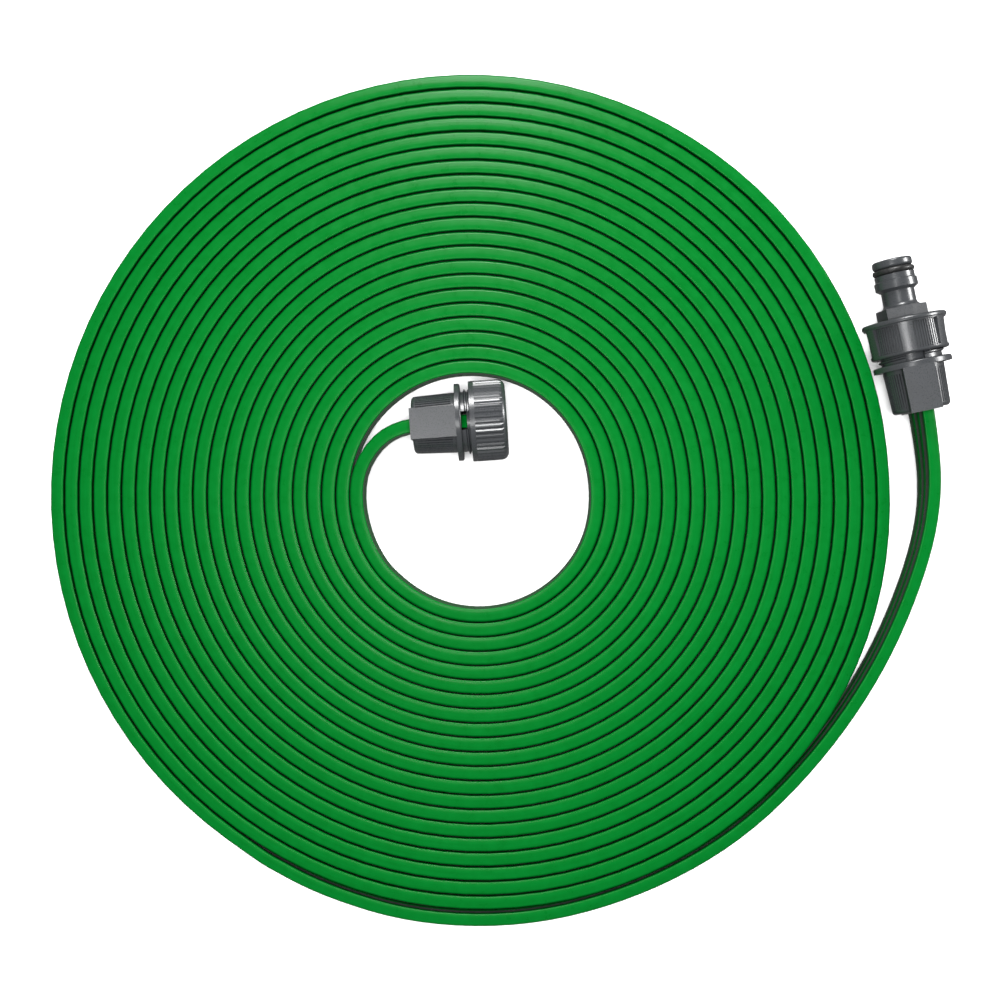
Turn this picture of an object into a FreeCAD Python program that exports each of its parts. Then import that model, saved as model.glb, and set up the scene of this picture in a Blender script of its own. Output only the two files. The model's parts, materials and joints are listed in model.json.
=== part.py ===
import FreeCAD, Part
import math
import os
import Sketcher

# Flat three-channel soaker hose, 15 m long, wound on edge in a flat spiral on the floor. Millimetres, +Z up,
# origin on the floor under the middle of the whole object. Each fitting is drawn along its own +Z, from its
# hose end outwards, with its own +Y pointing up, and is then laid on its side.

doc = FreeCAD.newDocument("soaker_hose")
sheet = doc.addObject("Spreadsheet::Sheet", "sizes")

SIZES = {
    # hose and its spiral, seen from above: radius = spiral_start + spiral_pitch x turns from the +X direction
    "hose_width": 17.4,
    "hose_thickness": 5.6,
    "channel_pitch": 5.8,
    "spiral_x": -10.9,
    "spiral_y": 2.65,
    "spiral_start": 44.54,
    "spiral_pitch": 5.81,
    "inner_azimuth": 224.5,
    "outer_azimuth": 240.0,
    "full_turns": 21,
    # loosely wound side of the coil: how far its first and last turns stand out, from and to which directions
    "loose_inner": 1.35,
    "loose_outer": 2.8,
    "loose_from": 240.0,
    "loose_rise": 80.0,
    "loose_to": 372.0,
    "loose_fall": 42.0,
    # coupling: ribbed round sleeve, flat box, flange and threaded spigot with two windows
    "body_length": 17.7,
    "body_radius_hose": 11.55,
    "body_radius_flange": 12.25,
    "body_round": 1.5,
    "flange_radius": 15.7,
    "flange_thick": 2.3,
    "flange_round": 0.8,
    "box_width": 12.4,
    "box_height": 31.2,
    "rib_count": 60,
    "rib_width": 0.55,
    "rib_depth": 0.5,
    "rib_margin": 1.7,
    "box_proud": 0.5,
    "slot_width": 8.1,
    "slot_height": 18.6,
    "spigot_length": 10.3,
    "thread_core": 12.15,
    "thread_crest": 13.2,
    "thread_pitch": 1.814,
    "thread_turns": 4.8,
    "spigot_bore": 10.0,
    "window_width": 7.5,
    "window_length": 5.2,
    # insert with three barbed tubes that the hose channels are pushed over
    "insert_radius": 9.9,
    "insert_base": 2.2,
    "insert_rim_radius": 12.0,
    "insert_rim_thick": 0.9,
    "insert_bore": 8.6,
    "barb_length": 9.0,
    "barb_radius": 1.5,
    "barb_bore": 0.9,
    "barb_hole": 1.8,
    "inlet_hose_stop": 0.0,
    "end_hose_stop": 2.2,
    # gasket between the insert's rim and the nipple or the cap
    "gasket_thick": 1.6,
    "gasket_radius": 12.0,
    "gasket_bore": 7.6,
    # union nut
    "nut_gap": 3.0,
    "nut_length": 14.7,
    "nut_radius": 17.0,
    "nut_waist_radius": 16.5,
    "nut_foot_radius": 15.6,
    "nut_lip": 2.0,
    "nut_margin": 1.5,
    "nut_wall": 2.6,
    "nut_bore": 13.55,
    "nut_hole": 10.65,
    "nut_round": 1.0,
    "panel_count": 6,
    "panel_grooves": 10,
    "panel_angle": 41.0,
    "panel_length": 10.8,
    "panel_recess": 0.35,
    "panel_depth": 0.6,
    "panel_groove_width": 0.62,
    # nipple for a standard push-on hose connector
    "nipple_flange_radius": 13.1,
    "nipple_flange_thick": 2.1,
    "hex_corner_radius": 10.2,
    "hex_rise": 4.75,
    "neck_radius": 6.7,
    "neck_flare": 2.0,
    "neck_length": 8.0,
    "collar_radius": 8.6,
    "collar_length": 3.5,
    "collar_chamfer": 0.5,
    "shank_radius": 8.0,
    "shank_length": 2.2,
    "groove_radius": 6.05,
    "groove_width": 2.7,
    "tip_length": 3.3,
    "tip_round": 1.0,
    "nipple_bore": 4.8,
    "ring_centre": 7.2,
    "ring_section": 1.2,
    # end cap
    "cap_gap": 3.5,
    "cap_length": 14.7,
    "cap_radius": 16.35,
    "cap_rim_length": 2.0,
    "cap_round": 3.0,
    "cap_bore": 13.55,
    "cap_pocket": 9.0,
    "cap_wall": 2.4,
    "knurl_count": 48,
    "knurl_length": 11.2,
    "knurl_depth": 0.55,
    "knurl_width": 2.9,
    "knurl_floor": 0.2,
    # where the two fittings lie: hose end of each axis, and the direction it points
    "inlet_x": 171.18,
    "inlet_y": 36.5,
    "inlet_z": 17.8,
    "inlet_azimuth": 101.6,
    "inlet_roll": 7.5,
    "nut_roll": 14.5,
    "nipple_roll": 20.0,
    "end_x": -35.36,
    "end_y": 30.26,
    "end_z": 16.75,
    "end_azimuth": 4.0,
}

# Middle line of the hose where it isn't coiled, X, Y, Z. The outer stretch leaves the spiral's last turn,
# drifts outwards and rises to the inlet; the inner one comes out of the end coupling and sinks into turn one.
INLET_ROUTE = [
    (-96.11, -144.94, 8.7),
    (-71.94, -159.07, 8.7),
    (-33.3, -170.69, 8.7),
    (12.41, -171.29, 8.8),
    (56.61, -159.29, 9.1),
    (96.79, -137.18, 9.7),
    (129.29, -104.64, 10.8),
    (154.34, -67.36, 12.3),
    (170.34, -27.63, 14.2),
    (175.8, 2.0, 16.3),
    (172.39, 30.62, 17.8),
    (167.18, 55.99, 17.8),
]
END_ROUTE = [
    (-13.31, 31.8, 16.75),
    (-28.38, 30.75, 16.75),
    (-40.5, 29.5, 16.6),
    (-50.3, 23.6, 15.2),
    (-57.8, 11.4, 13.0),
    (-58.55, -3.2, 10.9),
    (-54.9, -16.9, 9.4),
    (-49.61, -26.5, 8.75),
    (-45.25, -31.11, 8.7),
]


def fill_sheet():
    """One row per size: its name beside its value."""
    for row, (name, value) in enumerate(SIZES.items(), start=1):
        sheet.set("A%d" % row, name)
        sheet.set("B%d" % row, str(value))
        sheet.setAlias("B%d" % row, name)
    doc.recompute()


def cell(name):
    return float(sheet.get(name))


def in_sheet(text):
    """An expression in which each size's name points at the sheet."""
    words = {name: "sizes." + name for name in SIZES}
    parts = []
    word = ""
    for letter in text + " ":
        if letter.isalnum() or letter == "_":
            word += letter
            continue
        parts.append(words.get(word, word))
        parts.append(letter)
        word = ""
    return "".join(parts).strip()


def value_of(text):
    """The number that a sheet expression of sums, products and turns gives."""
    holder = doc.addObject("App::FeaturePython", "scratch")
    holder.addProperty("App::PropertyFloat", "Result")
    holder.setExpression("Result", in_sheet(text))
    holder.recompute()
    result = holder.Result
    doc.removeObject(holder.Name)
    return result


def new_body(label):
    body = doc.addObject("PartDesign::Body", label)
    body.Label = label
    return body


def plane_of(body, role):
    return next(item for item in body.Origin.OriginFeatures if item.Role == role)


def pin_point(sketch, edge, x_text, y_text):
    """Holds the start of an edge at a place that the sheet gives."""
    for kind, text, axis in (("DistanceX", x_text, -2), ("DistanceY", y_text, -1)):
        number = value_of(text)
        if abs(number) < 1e-9:
            sketch.addConstraint(Sketcher.Constraint("PointOnObject", edge, 1, axis))
            continue
        index = sketch.addConstraint(Sketcher.Constraint(kind, -1, 1, edge, 1, number))
        sketch.setExpression("Constraints[%d]" % index, in_sheet(text))


def add_loop(sketch, corners):
    """A closed outline of straight edges, its corners given as pairs of sheet expressions."""
    places = [FreeCAD.Vector(value_of(x), value_of(y), 0) for x, y in corners]
    first = sketch.GeometryCount
    for place, following in zip(places, places[1:] + places[:1]):
        sketch.addGeometry(Part.LineSegment(place, following), False)
    last = first + len(places) - 1
    for edge in range(first, last + 1):
        following = edge + 1 if edge < last else first
        sketch.addConstraint(Sketcher.Constraint("Coincident", edge, 2, following, 1))
    for edge, (x_text, y_text) in enumerate(corners, start=first):
        pin_point(sketch, edge, x_text, y_text)


def new_sketch(body, name, role, loops, height="0"):
    """A sketch on one of the body's own planes, lifted along the plane's normal by height."""
    sketch = body.newObject("Sketcher::SketchObject", name)
    sketch.AttachmentSupport = [(plane_of(body, role), "")]
    sketch.MapMode = "FlatFace"
    if height != "0":
        sketch.setExpression("AttachmentOffset.Base.z", in_sheet(height))
    for loop in loops:
        add_loop(sketch, loop)
    return sketch


def revolve(body, name, corners):
    """A full turn of an outline in the XZ plane about the body's Z axis."""
    sketch = new_sketch(body, name + "_outline", "XZ_Plane", [corners])
    feature = body.newObject("PartDesign::Revolution", name)
    feature.Profile = sketch
    feature.ReferenceAxis = (sketch, ["V_Axis"])
    feature.Angle = 360
    body.Tip = feature
    doc.recompute()
    return feature


def extrude(body, kind, name, loops, height, length, upwards=True):
    """A Pad or a Pocket of outlines in the XY plane, from a height, along the body's Z axis."""
    sketch = new_sketch(body, name + "_outline", "XY_Plane", loops, height)
    feature = body.newObject("PartDesign::" + kind, name)
    feature.Profile = sketch
    feature.setExpression("Length", in_sheet(length))
    feature.Reversed = upwards if kind == "Pocket" else not upwards
    body.Tip = feature
    doc.recompute()
    return feature


def polar(body, name, original, count, axis="N_Axis"):
    """Copies of a feature spaced evenly all round the body's Z axis, which its sketch knows by axis."""
    pattern = body.newObject("PartDesign::PolarPattern", name)
    pattern.Originals = [original]
    pattern.Axis = (original.Profile[0], [axis])
    pattern.Angle = 360
    pattern.setExpression("Occurrences", in_sheet(count))
    body.Tip = pattern
    doc.recompute()
    return pattern


def round_rings(body, name, places, size):
    """A fillet on the circular edges whose radius and height are given as pairs of sheet expressions."""
    base = body.Tip
    wanted = [(value_of(radius), value_of(height)) for radius, height in places]
    edges = []
    for number, edge in enumerate(base.Shape.Edges, start=1):
        if not isinstance(edge.Curve, Part.Circle):
            continue
        found = (edge.Curve.Radius, edge.Curve.Center.z)
        if any(math.dist(found, place) < 1e-4 for place in wanted):
            edges.append("Edge%d" % number)
    feature = body.newObject("PartDesign::Fillet", name)
    feature.Base = (base, edges)
    feature.setExpression("Radius", in_sheet(size))
    body.Tip = feature
    doc.recompute()
    return feature


def rectangle(width, height, middle="0"):
    """Corners of a rectangle centred on the axis, or moved along Y to middle."""
    left = "-0.5 * " + width
    right = "0.5 * " + width
    low = middle + " - 0.5 * " + height
    high = middle + " + 0.5 * " + height
    return [(left, low), (right, low), (right, high), (left, high)]


def notch(width, inside, outside, angle="0"):
    """Corners of a notch through a round wall, between two radii, turned by an angle from +X."""
    corners = []
    for along, side in ((inside, "-0.5"), (outside, "-0.5"), (outside, "0.5"), (inside, "0.5")):
        x = "(%s) * cos(%s) - %s * %s * sin(%s)" % (along, angle, side, width, angle)
        y = "(%s) * sin(%s) + %s * %s * cos(%s)" % (along, angle, side, width, angle)
        corners.append((x, y))
    return corners


def groove(floor_width, width, inside, outside):
    """Corners of a groove on +X with sloping sides, between two radii."""
    return [
        (inside, "-0.5 * " + floor_width),
        (outside, "-0.5 * " + width),
        (outside, "0.5 * " + width),
        (inside, "0.5 * " + floor_width),
    ]


def polygon(radius, sides):
    """Corners of a regular polygon, one of them on +X."""
    turns = ["%g deg" % (360 * k / sides) for k in range(sides)]
    return [("%s * cos(%s)" % (radius, turn), "%s * sin(%s)" % (radius, turn)) for turn in turns]


def ring(low, high, inside, outside):
    """Corners of a plain ring's section."""
    return [(inside, low), (outside, low), (outside, high), (inside, high)]


def fitting_place(prefix, roll=0.0):
    """Lays a fitting down: its Z along its azimuth, its Y upwards but for a small roll."""
    azimuth = math.radians(cell(prefix + "_azimuth"))
    across = FreeCAD.Vector(-math.sin(azimuth), math.cos(azimuth), 0)
    along = FreeCAD.Vector(math.cos(azimuth), math.sin(azimuth), 0)
    turn = FreeCAD.Rotation(across, FreeCAD.Vector(0, 0, 1), along, "ZYX")
    lean = FreeCAD.Rotation(FreeCAD.Vector(0, 0, 1), -roll)
    base = FreeCAD.Vector(cell(prefix + "_x"), cell(prefix + "_y"), cell(prefix + "_z"))
    return FreeCAD.Placement(base, turn.multiply(lean))


def coupling(label, place):
    """Sleeve, flat box and flange in one, with a threaded spigot, a slot for the hose and two windows."""
    body = new_body(label)
    face = "body_length + flange_thick"
    tip = face + " + spigot_length"
    revolve(body, label + "_core", [
        ("0", "0"),
        ("body_radius_hose", "0"),
        ("body_radius_flange", "body_length"),
        ("flange_radius", "body_length"),
        ("flange_radius", face),
        ("thread_core", face),
        ("thread_core", tip),
        ("0", tip),
    ])
    round_rings(body, label + "_rounding", [("body_radius_hose", "0")], "body_round")
    round_rings(body, label + "_flange_rounding", [("flange_radius", face)], "flange_round")
    groove = extrude(
        body, "Pocket", label + "_rib_groove",
        [notch("rib_width", "body_radius_hose - rib_depth", "body_radius_flange + 1")],
        "rib_margin", "body_length - 2 * rib_margin",
    )
    polar(body, label + "_ribs", groove, "rib_count")
    extrude(
        body, "Pad", label + "_box", [rectangle("box_width", "box_height")],
        "-box_proud", "body_length + box_proud + 0.1",
    )
    thread(body, label, face)
    extrude(
        body, "Pocket", label + "_slot", [rectangle("slot_width", "slot_height")],
        "-box_proud", face + " + box_proud",
    )
    bore(body, label + "_bore", "spigot_bore", face, "spigot_length")
    extrude(
        body, "Pocket", label + "_window",
        [rectangle("window_width", "4 * thread_crest")], face, "window_length",
    )
    body.Placement = place
    return body


def thread(body, label, face):
    """Right-hand V thread wound on the spigot."""
    foot = face + " + 0.9 * thread_pitch"
    half = "0.4 * thread_pitch"
    outline = [
        ("thread_core - 0.2", foot + " - " + half),
        ("thread_crest", foot + " - 0.1 * thread_pitch"),
        ("thread_crest", foot + " + 0.1 * thread_pitch"),
        ("thread_core - 0.2", foot + " + " + half),
    ]
    sketch = new_sketch(body, label + "_thread_outline", "XZ_Plane", [outline])
    helix = body.newObject("PartDesign::AdditiveHelix", label + "_thread")
    helix.Profile = sketch
    helix.ReferenceAxis = (sketch, ["V_Axis"])
    helix.Mode = 1
    helix.setExpression("Pitch", in_sheet("thread_pitch"))
    helix.setExpression("Turns", in_sheet("thread_turns"))
    helix.LeftHanded = False
    helix.Reversed = False
    body.Tip = helix
    doc.recompute()
    return helix


def bore(body, name, radius, height, length):
    """A round hole on the axis, from a height upwards."""
    sketch = new_sketch(body, name + "_outline", "XY_Plane", [], height)
    sketch.addGeometry(Part.Circle(FreeCAD.Vector(0, 0, 0), FreeCAD.Vector(0, 0, 1), value_of(radius)), False)
    sketch.addConstraint(Sketcher.Constraint("Coincident", 0, 3, -1, 1))
    index = sketch.addConstraint(Sketcher.Constraint("Radius", 0, value_of(radius)))
    sketch.setExpression("Constraints[%d]" % index, in_sheet(radius))
    feature = body.newObject("PartDesign::Pocket", name)
    feature.Profile = sketch
    feature.setExpression("Length", in_sheet(length))
    feature.Reversed = True
    body.Tip = feature
    doc.recompute()
    return feature


def barb_circles(body, name, radius, height):
    """Three circles one above another, as far apart as the hose's channels."""
    sketch = new_sketch(body, name, "XY_Plane", [], height)
    for number, middle in enumerate(("-channel_pitch", "0", "channel_pitch")):
        centre = FreeCAD.Vector(0, value_of(middle), 0)
        sketch.addGeometry(Part.Circle(centre, FreeCAD.Vector(0, 0, 1), value_of(radius)), False)
        sketch.addConstraint(Sketcher.Constraint("PointOnObject", number, 3, -2))
        size = sketch.addConstraint(Sketcher.Constraint("Radius", number, value_of(radius)))
        sketch.setExpression("Constraints[%d]" % size, in_sheet(radius))
        if middle == "0":
            sketch.addConstraint(Sketcher.Constraint("PointOnObject", number, 3, -1))
            continue
        index = sketch.addConstraint(Sketcher.Constraint("DistanceY", -1, 1, number, 3, centre.y))
        sketch.setExpression("Constraints[%d]" % index, in_sheet(middle))
    return sketch


def insert(label, stop, place):
    """Cup that closes the spigot, with a rim over its end and three barbed tubes on its base."""
    body = new_body(label)
    base = "body_length + flange_thick + " + stop
    rim = "body_length + flange_thick + spigot_length"
    top = rim + " + insert_rim_thick"
    revolve(body, label + "_cup", [
        ("0", base),
        ("insert_radius", base),
        ("insert_radius", rim),
        ("insert_rim_radius", rim),
        ("insert_rim_radius", top),
        ("insert_bore", top),
        ("insert_bore", base + " + insert_base"),
        ("0", base + " + insert_base"),
    ])
    for name, kind, radius, start, size in (
        ("barbs", "Pad", "barb_radius", base + " - barb_length", "barb_length + 0.1"),
        ("channels", "Pocket", "barb_bore", base + " - barb_length", "barb_length + insert_base + 0.1"),
    ):
        sketch = barb_circles(body, label + "_" + name + "_outline", radius, start)
        feature = body.newObject("PartDesign::" + kind, label + "_" + name)
        feature.Profile = sketch
        feature.setExpression("Length", in_sheet(size))
        feature.Reversed = kind == "Pocket"
        body.Tip = feature
        doc.recompute()
    body.Placement = place
    return body


def gasket(label, place):
    """Flat rubber washer on the insert's rim."""
    body = new_body(label)
    low = "body_length + flange_thick + spigot_length + insert_rim_thick"
    revolve(body, label + "_ring", ring(low, low + " + gasket_thick", "gasket_bore", "gasket_radius"))
    body.Placement = place
    return body


def union_nut(place):
    """Nut that turns on the spigot's thread and pulls the nipple's flange down on its gasket. Six windows of
    fine ribs alternate with six plain strips."""
    body = new_body("union_nut")
    low = "body_length + flange_thick + nut_gap"
    high = low + " + nut_length"
    lip = high + " - nut_lip"
    panel_low = low + " + nut_margin"
    panel_high = panel_low + " + panel_length"
    revolve(body, "nut_shell", [
        ("nut_bore", low),
        ("nut_foot_radius", low),
        ("nut_waist_radius", lip),
        ("nut_radius", lip + " + 0.4"),
        ("nut_radius", high),
        ("nut_hole", high),
        ("nut_hole", high + " - nut_wall"),
        ("nut_bore", high + " - nut_wall"),
    ])
    rims = [("nut_foot_radius", low), ("nut_radius", high), ("nut_hole", high)]
    round_rings(body, "nut_rounding", rims, "nut_round")
    floor = "nut_foot_radius - panel_recess"
    outline = ring(panel_low, panel_high, floor, "nut_radius + 1")
    sketch = new_sketch(body, "nut_window_outline", "XZ_Plane", [outline])
    window = body.newObject("PartDesign::Groove", "nut_window")
    window.Profile = sketch
    window.ReferenceAxis = (sketch, ["V_Axis"])
    window.setExpression("Angle", in_sheet("panel_angle"))
    window.Midplane = True
    body.Tip = window
    doc.recompute()
    polar(body, "nut_windows", window, "panel_count", "V_Axis")
    pitch = cell("panel_angle") / cell("panel_grooves")
    slots = []
    for number in range(int(cell("panel_grooves"))):
        angle = "%g deg" % (pitch * (number + 0.5) - cell("panel_angle") / 2)
        slots.append(notch("panel_groove_width", floor + " - panel_depth", "nut_radius", angle))
    grooves = extrude(body, "Pocket", "nut_groove", slots, panel_low, "panel_length")
    polar(body, "nut_grooves", grooves, "panel_count")
    body.Placement = place
    return body


def nipple(place):
    """Push-on nipple: flange under the nut, hexagon, flared neck, collar, O-ring groove and rounded tip."""
    body = new_body("nipple")
    low = "body_length + flange_thick + spigot_length + insert_rim_thick + gasket_thick"
    shoulder = low + " + nipple_flange_thick"
    hexagon = "body_length + flange_thick + nut_gap + nut_length + hex_rise"
    collar = hexagon + " + neck_length"
    shank = collar + " + collar_length"
    groove = shank + " + shank_length"
    tip = groove + " + groove_width"
    top = tip + " + tip_length"
    revolve(body, "nipple_turning", [
        ("nipple_bore", low),
        ("nipple_flange_radius", low),
        ("nipple_flange_radius", shoulder),
        ("hex_corner_radius - 2", shoulder),
        ("hex_corner_radius - 2", hexagon),
        ("neck_radius", hexagon),
        ("neck_radius", collar + " - 1.2"),
        ("collar_radius", collar),
        ("collar_radius", shank + " - collar_chamfer"),
        ("shank_radius", shank),
        ("shank_radius", groove),
        ("groove_radius", groove),
        ("groove_radius", tip),
        ("shank_radius", tip),
        ("shank_radius", top),
        ("nipple_bore", top),
    ])
    rims = [("shank_radius", top), ("shank_radius", tip)]
    round_rings(body, "nipple_rounding", rims, "tip_round")
    start = shoulder + " - 0.1"
    extrude(
        body, "Pad", "nipple_hexagon", [polygon("hex_corner_radius", 6)], start, hexagon + " - (" + start + ")",
    )
    round_rings(body, "neck_flaring", [("neck_radius", hexagon)], "neck_flare")
    bore(body, "nipple_bore_cut", "nipple_bore", low, top + " - (" + low + ")")
    body.Placement = place
    return body


def nipple_ring(place):
    """Rubber ring in the nipple's groove."""
    torus = doc.addObject("Part::Torus", "nipple_o_ring")
    torus.Label = "nipple_o_ring"
    torus.setExpression("Radius1", in_sheet("ring_centre"))
    torus.setExpression("Radius2", in_sheet("ring_section"))
    height = value_of(
        "body_length + flange_thick + nut_gap + nut_length + hex_rise + neck_length"
        " + collar_length + shank_length + 0.5 * groove_width"
    )
    torus.Placement = place.multiply(FreeCAD.Placement(FreeCAD.Vector(0, 0, height), FreeCAD.Rotation()))
    return torus


def end_cap(place):
    """Knurled cap that closes the far end."""
    body = new_body("end_cap")
    low = "body_length + flange_thick + cap_gap"
    high = low + " + cap_length"
    seat = "body_length + flange_thick + spigot_length + insert_rim_thick + gasket_thick"
    revolve(body, "cap_shell", [
        ("cap_bore", low),
        ("cap_radius", low),
        ("cap_radius", high),
        ("0", high),
        ("0", high + " - cap_wall"),
        ("cap_pocket", high + " - cap_wall"),
        ("cap_pocket", seat),
        ("cap_bore", seat),
    ])
    round_rings(body, "cap_rounding", [("cap_radius", high)], "cap_round")
    knurl = extrude(
        body, "Pocket", "knurl_groove",
        [groove("knurl_floor", "knurl_width", "cap_radius - knurl_depth", "cap_radius + knurl_depth")],
        low + " + cap_rim_length", "knurl_length",
    )
    polar(body, "knurl", knurl, "knurl_count")
    body.Placement = place
    return body


def loosening(turns):
    """How far the hose stands out beyond the even spiral at a number of turns from +X."""
    first = cell("inner_azimuth") / 360
    last = cell("full_turns") + cell("outer_azimuth") / 360
    start = cell("loose_from")
    azimuth = (360 * turns - start) % 360 + start
    rise = min(1.0, (azimuth - start) / cell("loose_rise"))
    fall = min(1.0, max(0.0, (cell("loose_to") - azimuth) / cell("loose_fall")))
    most = cell("loose_inner") + (cell("loose_outer") - cell("loose_inner")) * (turns - first) / (last - first)
    return most * math.sin(math.pi / 2 * rise) * fall * fall * (3 - 2 * fall)


def spiral_point(turns, sideways=0.0, height=0.0):
    """A point of the hose's middle line at a number of turns from +X, or beside it."""
    radius = cell("spiral_start") + cell("spiral_pitch") * turns + loosening(turns) + sideways
    angle = 2 * math.pi * turns
    x = cell("spiral_x") + radius * math.cos(angle)
    y = cell("spiral_y") + radius * math.sin(angle)
    return FreeCAD.Vector(x, y, height)


def spiral_block(first_turn, sideways):
    """Upright block bounded by one turn of the spiral and the step between its two ends."""
    steps = 36
    points = [spiral_point(first_turn + k / steps, sideways) for k in range(steps + 1)]
    curve = Part.BSplineCurve()
    curve.interpolate(points)
    step = Part.LineSegment(points[-1], points[0])
    face = Part.Face(Part.Wire([curve.toShape(), step.toShape()]))
    return face.extrude(FreeCAD.Vector(0, 0, cell("hose_width")))


def hose_coil():
    """All wound turns as one block, from the face where the inner stretch joins to the outer one's."""
    half = cell("hose_thickness") / 2
    inner = spiral_block(cell("inner_azimuth") / 360, -half)
    last_turn = cell("full_turns") + cell("outer_azimuth") / 360
    outer = spiral_block(last_turn - 1, half)
    feature = doc.addObject("Part::Feature", "hose_coil")
    feature.Label = "hose_coil"
    feature.Shape = outer.cut(inner)
    return feature


def rounded_path(route):
    """Straight runs joined by tangent arcs, each arc as large as its shorter run allows. Prints the radii."""
    points = [FreeCAD.Vector(*place) for place in route]
    edges = []
    radii = []
    start = points[0]
    for before, corner, after in zip(points, points[1:], points[2:]):
        arriving = (corner - before).normalize()
        leaving = (after - corner).normalize()
        turn = arriving.getAngle(leaving)
        reach = 0.45 * min((corner - before).Length, (after - corner).Length)
        radius = reach / math.tan(turn / 2)
        enter = corner - arriving * reach
        leave = corner + leaving * reach
        inward = (leaving - arriving).normalize()
        middle = corner + inward * (radius / math.cos(turn / 2) - radius)
        edges.append(Part.LineSegment(start, enter).toShape())
        edges.append(Part.Arc(enter, middle, leave).toShape())
        radii.append(round(radius, 1))
        start = leave
    edges.append(Part.LineSegment(start, points[-1]).toShape())
    return Part.Wire(edges), radii


def hose_section(start, following):
    """Upright rectangle of the hose, square to the route's first run."""
    along = (following - start).normalize()
    up = FreeCAD.Vector(0, 0, 1)
    side = along.cross(up).normalize() * (cell("hose_thickness") / 2)
    rise = side.cross(along).normalize() * (cell("hose_width") / 2)
    corners = [start + side + rise, start - side + rise, start - side - rise, start + side - rise]
    return Part.makePolygon(corners + corners[:1])


def hose_run(label, route, place, stop):
    """Flat hose along a free stretch, with three holes in its end for the insert's barbs."""
    path, radii = rounded_path(route)
    first, second = (FreeCAD.Vector(*point) for point in route[:2])
    shell = Part.BRepOffsetAPI.MakePipeShell(path)
    shell.setBiNormalMode(FreeCAD.Vector(0, 0, 1))
    shell.add(hose_section(first, second))
    shell.build()
    shell.makeSolid()
    solid = shell.shape()
    expected = path.Length * cell("hose_width") * cell("hose_thickness")
    print(label, "arc radii", radii, "length %.1f" % path.Length, "volume ratio %.4f" % (solid.Volume / expected))
    base = value_of("body_length + flange_thick + " + stop)
    for level in (-1, 0, 1):
        foot = FreeCAD.Vector(0, level * cell("channel_pitch"), base - cell("barb_length") - 1)
        hole = Part.makeCylinder(cell("barb_hole"), cell("barb_length") + 3, foot)
        hole.Placement = place.multiply(hole.Placement)
        solid = solid.cut(hole)
    feature = doc.addObject("Part::Feature", label)
    feature.Label = label
    feature.Shape = solid
    return feature


def check_and_write(pieces):
    """Stops on a failed object or a bad shape, then writes one file for each sub-part."""
    doc.recompute()
    for item in doc.Objects:
        if "Invalid" in item.State or "Error" in item.State:
            raise RuntimeError("%s failed: %s" % (item.Name, item.State))
    for piece in pieces:
        if piece.Shape.isNull() or not piece.Shape.isValid():
            raise RuntimeError("%s has no valid shape" % piece.Label)
    os.makedirs("parts", exist_ok=True)
    for piece in pieces:
        solids = len(piece.Shape.Solids)
        print("%-16s solids %d volume %.1f mm3" % (piece.Label, solids, piece.Shape.Volume))
        piece.Shape.exportStep("parts/%s.step" % piece.Label)


fill_sheet()
inlet_place = fitting_place("inlet", cell("inlet_roll"))
end_place = fitting_place("end")
pieces = [
    hose_coil(),
    hose_run("hose_inlet_run", INLET_ROUTE, inlet_place, "inlet_hose_stop"),
    hose_run("hose_end_run", END_ROUTE, end_place, "end_hose_stop"),
    coupling("inlet_coupling", inlet_place),
    insert("inlet_insert", "inlet_hose_stop", inlet_place),
    gasket("inlet_gasket", inlet_place),
    union_nut(fitting_place("inlet", cell("nut_roll"))),
    nipple(fitting_place("inlet", cell("nipple_roll"))),
    nipple_ring(inlet_place),
    coupling("end_coupling", end_place),
    insert("end_insert", "end_hose_stop", end_place),
    gasket("end_gasket", end_place),
    end_cap(end_place),
]
check_and_write(pieces)
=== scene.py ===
import json
import math
import random

import bpy
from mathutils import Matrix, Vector


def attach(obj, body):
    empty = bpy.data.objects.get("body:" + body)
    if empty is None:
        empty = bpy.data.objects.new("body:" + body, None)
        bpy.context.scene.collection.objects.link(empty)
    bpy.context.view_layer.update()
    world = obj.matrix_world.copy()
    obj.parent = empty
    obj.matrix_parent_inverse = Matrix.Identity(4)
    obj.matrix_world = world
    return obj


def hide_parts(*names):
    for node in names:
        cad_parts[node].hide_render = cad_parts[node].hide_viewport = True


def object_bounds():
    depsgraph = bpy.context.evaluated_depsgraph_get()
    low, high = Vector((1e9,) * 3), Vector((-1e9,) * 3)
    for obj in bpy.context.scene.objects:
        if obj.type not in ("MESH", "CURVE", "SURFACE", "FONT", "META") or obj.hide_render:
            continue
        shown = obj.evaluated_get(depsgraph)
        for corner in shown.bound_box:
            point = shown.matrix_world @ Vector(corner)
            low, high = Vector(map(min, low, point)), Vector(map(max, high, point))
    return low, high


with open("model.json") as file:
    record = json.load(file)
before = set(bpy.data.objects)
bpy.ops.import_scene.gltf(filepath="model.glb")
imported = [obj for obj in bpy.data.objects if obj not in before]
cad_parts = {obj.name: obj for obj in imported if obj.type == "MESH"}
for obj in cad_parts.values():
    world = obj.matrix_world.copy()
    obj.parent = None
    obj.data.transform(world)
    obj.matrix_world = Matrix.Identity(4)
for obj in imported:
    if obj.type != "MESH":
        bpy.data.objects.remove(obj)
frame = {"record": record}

MM = 0.001
cad_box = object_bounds()
FLOOR_LEVEL = cad_box[0][2]

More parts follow.
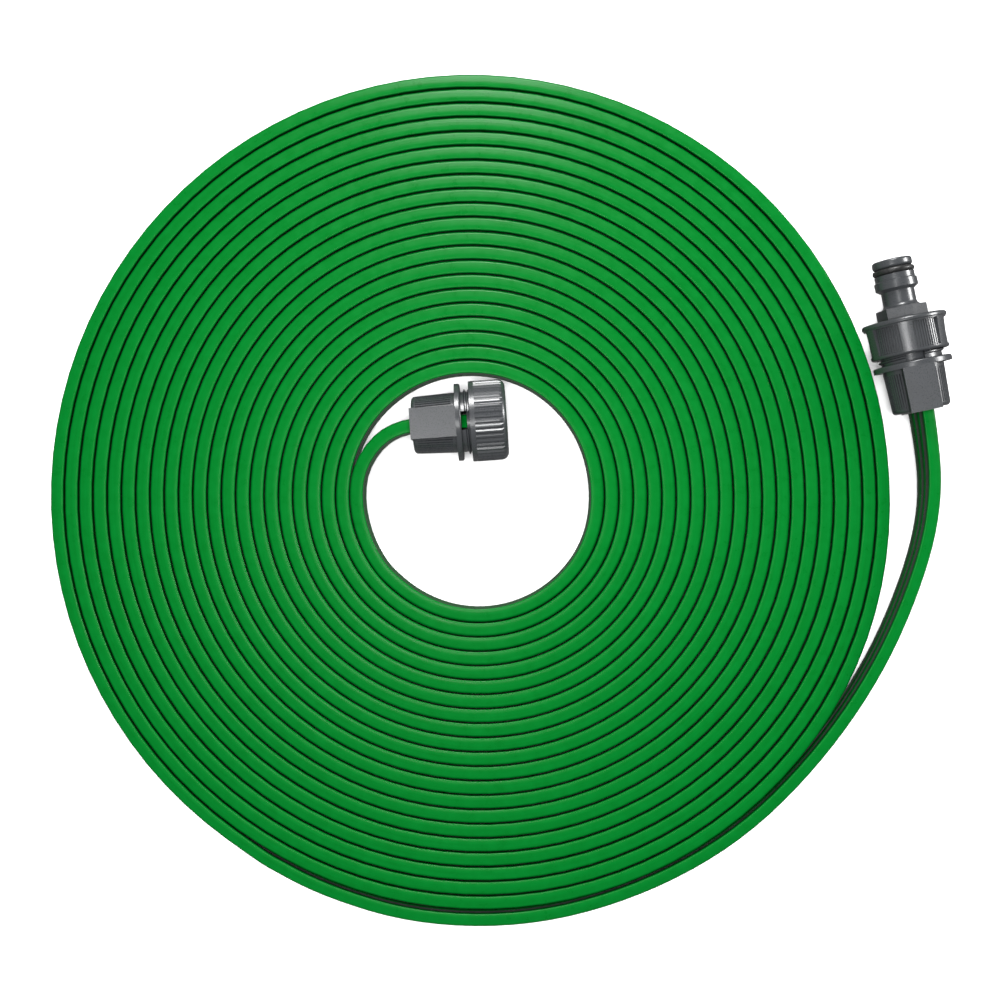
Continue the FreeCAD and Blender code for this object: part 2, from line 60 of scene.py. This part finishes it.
# Hose, in metres. Its section has a crisp inner edge and a lower, rounder outer one
WIDTH = 17.4 * MM
THICKNESS = 5.6 * MM
CHANNEL_PITCH = 5.8 * MM
GROOVE_DEPTH = 0.42 * MM
GROOVE_SPREAD = 0.55 * MM
INNER_ROUND = 0.55 * MM
OUTER_ROUND = 1.3 * MM
OUTER_DROP = 2.6 * MM
CROWN_FALL = 0.7 * MM
CROWN_PLACE = 0.2  # a point half way down the sloping top, as a share of the way to the inner face
GROOVE_STEPS = (-1.4, -0.7, 0, 0.7, 1.4)
INNER_STEPS = 3
OUTER_STEPS = 5

# Coil, seen from above: radius = start + pitch x turns from the +X direction. Its top is slightly uneven
SPIRAL_CENTRE = Vector((-10.9 * MM, 2.65 * MM))
SPIRAL_START = 44.54 * MM
SPIRAL_PITCH = 5.81 * MM
FIRST_TURN = 224.5 / 360
LAST_TURN = 21 + 240.0 / 360
POINTS_PER_TURN = 32
UNEVENNESS = 0.25 * MM
UNEVENNESS_SEED = 7
LINE_RESOLUTION = 3

# Loosely wound side of the coil: how far its first and last turns stand out, and in which directions, degrees
LOOSE_INNER = 1.35 * MM
LOOSE_OUTER = 2.8 * MM
LOOSE_FROM = 240.0
LOOSE_RISE = 80.0
LOOSE_TO = 372.0
LOOSE_FALL = 42.0

# The hose leans over a little where it leaves the inlet coupling
INLET_ROLL = math.radians(7.5)
ROLL_FADE = 60 * MM

# The hose's free stretches, from the inlet coupling to the coil and from the end coupling to the coil
INLET_ROUTE = [
    (0.16718, 0.05599, 0.0178),
    (0.17239, 0.03062, 0.0178),
    (0.1758, 0.002, 0.0163),
    (0.17034, -0.02763, 0.0142),
    (0.15434, -0.06736, 0.0123),
    (0.12929, -0.10464, 0.0108),
    (0.09679, -0.13718, 0.0097),
    (0.05661, -0.15929, 0.0091),
    (0.01241, -0.17129, 0.0088),
    (-0.0333, -0.17069, 0.0087),
    (-0.07194, -0.15907, 0.0087),
]
END_ROUTE = [
    (-0.04961, -0.0265, 0.00875),
    (-0.0549, -0.0169, 0.0094),
    (-0.05855, -0.0032, 0.0109),
    (-0.0578, 0.0114, 0.013),
    (-0.0503, 0.0236, 0.0152),
    (-0.0405, 0.0295, 0.0166),
    (-0.02838, 0.03075, 0.01675),
    (-0.01331, 0.0318, 0.01675),
]

# Camera straight above the middle of the object, its lens set for the object's plan to fill the frame
CAMERA_RISE = 627 * MM
FRAME_WIDTH = 406 * MM
SENSOR = 36.0

FLOOR_HALF = 3.0
WORLD_STRENGTH = 0.22


def make_camera():
    """Camera that looks straight down."""
    data = bpy.data.cameras.new("camera")
    data.sensor_width = SENSOR
    data.lens = SENSOR * CAMERA_RISE / FRAME_WIDTH
    camera = bpy.data.objects.new("camera", data)
    camera.location = (0, 0, WIDTH + CAMERA_RISE)
    bpy.context.scene.collection.objects.link(camera)
    bpy.context.scene.camera = camera


def loosening(turns):
    """How far the hose stands out beyond the even spiral, on the coil's loosely wound side."""
    azimuth = (360 * turns - LOOSE_FROM) % 360 + LOOSE_FROM
    rise = min(1.0, (azimuth - LOOSE_FROM) / LOOSE_RISE)
    fall = min(1.0, max(0.0, (LOOSE_TO - azimuth) / LOOSE_FALL))
    share = (turns - FIRST_TURN) / (LAST_TURN - FIRST_TURN)
    most = LOOSE_INNER + (LOOSE_OUTER - LOOSE_INNER) * share
    return most * math.sin(math.pi / 2 * rise) * fall * fall * (3 - 2 * fall)


def halved(route):
    """Control points of the same quadratic curve, twice as close together."""
    points = [Vector(route[0])]
    for before, after in zip(route, route[1:]):
        points.append(Vector(before).lerp(Vector(after), 0.25))
        points.append(Vector(before).lerp(Vector(after), 0.75))
    return points


def coil_points():
    """Control points of the wound turns, from the outermost inwards.

    They lie outside the spiral by as much as the quadratic curve through them cuts the corners.
    """
    swell = 1 / (0.75 + 0.25 * math.cos(2 * math.pi / POINTS_PER_TURN))
    wander = random.Random(UNEVENNESS_SEED)
    count = round((LAST_TURN - FIRST_TURN) * POINTS_PER_TURN)
    points = []
    for k in range(count + 1):
        turns = LAST_TURN - (LAST_TURN - FIRST_TURN) * k / count
        radius = (SPIRAL_START + SPIRAL_PITCH * turns + loosening(turns)) * swell
        angle = 2 * math.pi * turns
        rise = wander.uniform(0, 1) * UNEVENNESS
        x = SPIRAL_CENTRE.x + radius * math.cos(angle)
        y = SPIRAL_CENTRE.y + radius * math.sin(angle)
        points.append((x, y, WIDTH / 2 + rise))
    return points


def hose_line():
    """Points along the hose's own NURBS curve."""
    coil = coil_points()
    control = halved(INLET_ROUTE + coil[:1]) + coil + END_ROUTE
    data = bpy.data.curves.new("hose_line", "CURVE")
    data.dimensions = "3D"
    data.resolution_u = LINE_RESOLUTION
    spline = data.splines.new("NURBS")
    spline.points.add(len(control) - 1)
    for point, place in zip(spline.points, control):
        point.co = (*place, 1.0)
    spline.order_u = 3
    spline.use_endpoint_u = True
    curve = bpy.data.objects.new("hose_line", data)
    mesh = bpy.data.meshes.new_from_object(curve)
    places = [vertex.co.copy() for vertex in mesh.vertices]
    bpy.data.meshes.remove(mesh)
    bpy.data.objects.remove(curve)
    bpy.data.curves.remove(data)
    return places


def corner(across, down, sign, top, steps):
    """Quarter ellipse at a top corner of the section, from its side face up to the crown."""
    middle = (sign * (THICKNESS / 2 - across), top - down)
    angles = [math.pi / 2 * k / steps for k in range(steps + 1)]
    return [(middle[0] + sign * across * math.cos(a), middle[1] + down * math.sin(a)) for a in angles]


def hose_profile():
    """Outline of the section as (towards the coil's middle, upwards) pairs.

    Both faces are grooved between the channels. The edge next to the coil's middle is crisp and highest.
    """
    half = THICKNESS / 2
    inner = corner(INNER_ROUND, INNER_ROUND, 1, WIDTH / 2, INNER_STEPS)
    outer = corner(OUTER_ROUND, OUTER_DROP, -1, WIDTH / 2 - CROWN_FALL, OUTER_STEPS)[::-1]
    crown = [(CROWN_PLACE * half, WIDTH / 2 - 0.5 * CROWN_FALL)]
    grooves = [s * CHANNEL_PITCH / 2 + step * GROOVE_SPREAD for s in (-1, 1) for step in GROOVE_STEPS]

    def side(level):
        dips = [math.exp(-((level - s * CHANNEL_PITCH / 2) / GROOVE_SPREAD) ** 2) for s in (-1, 1)]
        return half - GROOVE_DEPTH * sum(dips)

    right = [(side(level), level) for level in grooves]
    left = [(-side(level), level) for level in reversed(grooves)]
    top = inner + crown + outer
    bottom = [(x, -y) for x, y in reversed(top)]
    return right + top + left + bottom


def travelled(places):
    """Distance along the line at each of its points."""
    total = 0.0
    distances = [total]
    for before, after in zip(places, places[1:]):
        total += (after - before).length
        distances.append(total)
    return distances


def sweep(name, places, profile):
    """Closed mesh of the profile carried along the line, upright but for a roll near its start."""
    distances = travelled(places)
    perimeter = [0.0]
    for before, after in zip(profile, profile[1:] + profile[:1]):
        perimeter.append(perimeter[-1] + math.dist(before, after))
    vertices = []
    for index, place in enumerate(places):
        before = places[max(index - 1, 0)]
        after = places[min(index + 1, len(places) - 1)]
        along = (after - before).normalized()
        side = along.cross(Vector((0, 0, 1))).normalized()
        up = side.cross(along)
        roll = INLET_ROLL * max(0.0, 1 - distances[index] / ROLL_FADE)
        across = side * math.cos(roll) + up * math.sin(roll)
        rise = up * math.cos(roll) - side * math.sin(roll)
        vertices += [place + across * x + rise * y for x, y in profile]
    size = len(profile)
    faces = []
    for ring in range(len(places) - 1):
        for k in range(size):
            following = (k + 1) % size
            a, b = ring * size + k, ring * size + following
            faces.append((a, b, b + size, a + size))
    faces.append(tuple(range(size)))
    last = (len(places) - 1) * size
    faces.append(tuple(last + k for k in reversed(range(size))))
    mesh = bpy.data.meshes.new(name)
    mesh.from_pydata([tuple(v) for v in vertices], [], faces)
    layer = mesh.uv_layers.new(name="along")
    for polygon in mesh.polygons[: size * (len(places) - 1)]:
        ring, k = divmod(polygon.index, size)
        corners = ((ring, k), (ring, k + 1), (ring + 1, k + 1), (ring + 1, k))
        for loop, (r, p) in zip(polygon.loop_indices, corners):
            layer.data[loop].uv = (distances[r], perimeter[p])
    mesh.polygons.foreach_set("use_smooth", [True] * len(mesh.polygons))
    mesh.update()
    piece = bpy.data.objects.new(name, mesh)
    bpy.context.scene.collection.objects.link(piece)
    return piece


def new_material(name):
    """A node material, with its nodes, its links and its shader."""
    material = bpy.data.materials.new(name)
    material.use_nodes = True
    nodes = material.node_tree.nodes
    links = material.node_tree.links
    return material, nodes, links, nodes["Principled BSDF"]


def noise(nodes, links, coordinates, scale, detail=3.0):
    """Fine random mottle, from 0 to 1."""
    texture = nodes.new("ShaderNodeTexNoise")
    texture.inputs["Scale"].default_value = scale
    texture.inputs["Detail"].default_value = detail
    links.new(coordinates, texture.inputs["Vector"])
    return texture.outputs["Fac"]


def ramp(nodes, links, source, stops):
    """Colours against a value, as (position, colour) pairs."""
    node = nodes.new("ShaderNodeValToRGB")
    elements = node.color_ramp.elements
    for element, (position, colour) in zip(elements, stops):
        element.position = position
        element.color = (*colour, 1)
    links.new(source, node.inputs["Fac"])
    return node.outputs["Color"]


def spread(nodes, links, source, low, high):
    """A value that runs from low to high as the source runs over the middle of its range."""
    node = nodes.new("ShaderNodeMapRange")
    node.inputs["From Min"].default_value = 0.3
    node.inputs["From Max"].default_value = 0.7
    node.inputs["To Min"].default_value = low
    node.inputs["To Max"].default_value = high
    links.new(source, node.inputs["Value"])
    return node.outputs["Result"]


def bump(nodes, links, source, strength, distance, shader):
    """Small relief on the shader's surface, its depth in metres."""
    node = nodes.new("ShaderNodeBump")
    node.inputs["Strength"].default_value = strength
    node.inputs["Distance"].default_value = distance
    links.new(source, node.inputs["Height"])
    links.new(node.outputs["Normal"], shader.inputs["Normal"])


def hose_material():
    """Soft green vinyl: faint streaks along its length, a slight mottle, and painted shade that darkens its
    upright faces.
    """
    material, nodes, links, shader = new_material("green_vinyl")
    uv = nodes.new("ShaderNodeUVMap")
    uv.uv_map = "along"
    stretch = nodes.new("ShaderNodeMapping")
    stretch.inputs["Scale"].default_value = (6, 900, 1)
    links.new(uv.outputs["UV"], stretch.inputs["Vector"])
    streaks = noise(nodes, links, stretch.outputs["Vector"], 1.0)
    place = nodes.new("ShaderNodeTexCoord").outputs["Object"]
    mottle = noise(nodes, links, place, 260.0)
    mix = nodes.new("ShaderNodeMix")
    mix.inputs["Factor"].default_value = 0.5
    links.new(streaks, mix.inputs["A"])
    links.new(mottle, mix.inputs["B"])
    blend = mix.outputs["Result"]
    colour = ramp(nodes, links, blend, [(0.3, (0.0, 0.085, 0.008)), (0.7, (0.0, 0.105, 0.012))])
    # Painted shade: faces that stand upright are darkened down to 30 per cent, as if shadowed between the
    # turns
    upright = nodes.new("ShaderNodeSeparateXYZ")
    links.new(nodes.new("ShaderNodeNewGeometry").outputs["True Normal"], upright.inputs["Vector"])
    painted_shade = ramp(nodes, links, upright.outputs["Z"], [(0.1, (0.3, 0.3, 0.3)), (0.5, (1, 1, 1))])
    painted_shade_mix = nodes.new("ShaderNodeMix")
    painted_shade_mix.data_type = "RGBA"
    painted_shade_mix.blend_type = "MULTIPLY"
    painted_shade_mix.inputs["Factor"].default_value = 1.0
    links.new(colour, painted_shade_mix.inputs[6])
    links.new(painted_shade, painted_shade_mix.inputs[7])
    links.new(painted_shade_mix.outputs[2], shader.inputs["Base Color"])
    links.new(spread(nodes, links, mottle, 0.26, 0.34), shader.inputs["Roughness"])
    bump(nodes, links, streaks, 0.12, 0.0002, shader)
    shader.inputs["Specular IOR Level"].default_value = 0.14
    return material


def plastic_material():
    """Mid-grey moulded plastic, satin, with a fine skin texture."""
    material, nodes, links, shader = new_material("grey_plastic")
    place = nodes.new("ShaderNodeTexCoord").outputs["Object"]
    mottle = noise(nodes, links, place, 90.0)
    grain = noise(nodes, links, place, 2600.0, 2.0)
    colour = ramp(nodes, links, mottle, [(0.3, (0.024, 0.026, 0.028)), (0.7, (0.028, 0.03, 0.033))])
    links.new(colour, shader.inputs["Base Color"])
    links.new(spread(nodes, links, grain, 0.26, 0.32), shader.inputs["Roughness"])
    shader.inputs["Specular IOR Level"].default_value = 0.8
    bump(nodes, links, grain, 0.12, 0.0001, shader)
    return material


def rubber_material():
    """Near-black rubber of the O-ring and the gaskets."""
    material, nodes, links, shader = new_material("black_rubber")
    place = nodes.new("ShaderNodeTexCoord").outputs["Object"]
    mottle = noise(nodes, links, place, 700.0)
    colour = ramp(nodes, links, mottle, [(0.3, (0.008, 0.008, 0.008)), (0.7, (0.018, 0.018, 0.018))])
    links.new(colour, shader.inputs["Base Color"])
    links.new(spread(nodes, links, mottle, 0.3, 0.45), shader.inputs["Roughness"])
    bump(nodes, links, mottle, 0.1, 0.0001, shader)
    return material


def floor_material():
    """Plain pale matt floor."""
    material, _, _, shader = new_material("pale_floor")
    shader.inputs["Base Color"].default_value = (0.9, 0.9, 0.9, 1)
    shader.inputs["Roughness"].default_value = 0.9
    return material


def make_hose():
    """The whole hose in one length, in place of its three CAD solids, and its middle line."""
    places = hose_line()
    piece = sweep("hose", places, hose_profile())
    piece.data.materials.append(hose_material())
    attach(piece, "root")
    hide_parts("hose_coil", "hose_inlet_run", "hose_end_run")
    return piece, places


def finish_fittings():
    """Better materials on the modelled fittings, which keep their shape."""
    finishes = {"fitting": plastic_material(), "seal": rubber_material()}
    slots = {entry["node"]: entry["material_slot"] for entry in frame["record"]["subparts"]}
    for node, name in slots.items():
        if name not in finishes:
            continue
        piece = bpy.data.objects[node]
        piece.data.materials.clear()
        piece.data.materials.append(finishes[name])


def make_floor():
    """Wide floor under the hose, kept out of reflections."""
    corners = [(x * FLOOR_HALF, y * FLOOR_HALF, 0) for x, y in ((-1, -1), (1, -1), (1, 1), (-1, 1))]
    mesh = bpy.data.meshes.new("floor")
    mesh.from_pydata(corners, [], [(0, 1, 2, 3)])
    floor = bpy.data.objects.new("floor", mesh)
    floor.location.z = FLOOR_LEVEL
    floor.data.materials.append(floor_material())
    bpy.context.scene.collection.objects.link(floor)
    floor.visible_glossy = False


def soft_light(name, place, size, power):
    """Round area light that points at the middle of the floor."""
    data = bpy.data.lights.new(name, "AREA")
    data.shape = "DISK"
    data.size = size
    data.energy = power
    light = bpy.data.objects.new(name, data)
    light.location = place
    light.rotation_euler = (-Vector(place)).to_track_quat("-Z", "Y").to_euler()
    bpy.context.scene.collection.objects.link(light)
    return light


def make_lights():
    """Soft studio light. The overhead one stays out of reflections."""
    soft_light("key", (0.0, 0.9, 0.6), 0.4, 12)
    soft_light("glint", (-0.12, -0.12, 1.1), 0.25, 2.5)
    soft_light("rim", (1.15, 0.4, 0.35), 0.35, 9)
    overhead = soft_light("overhead", (0.0, 0.0, 1.15), 0.6, 24)
    overhead.visible_glossy = False
    world = bpy.data.worlds.new("studio")
    world.use_nodes = True
    background = world.node_tree.nodes["Background"]
    background.inputs["Color"].default_value = (1, 1, 1, 1)
    background.inputs["Strength"].default_value = WORLD_STRENGTH
    bpy.context.scene.world = world
    bpy.context.scene.view_settings.view_transform = "Standard"


make_camera()
hose, hose_places = make_hose()
finish_fittings()
make_floor()
make_lights()
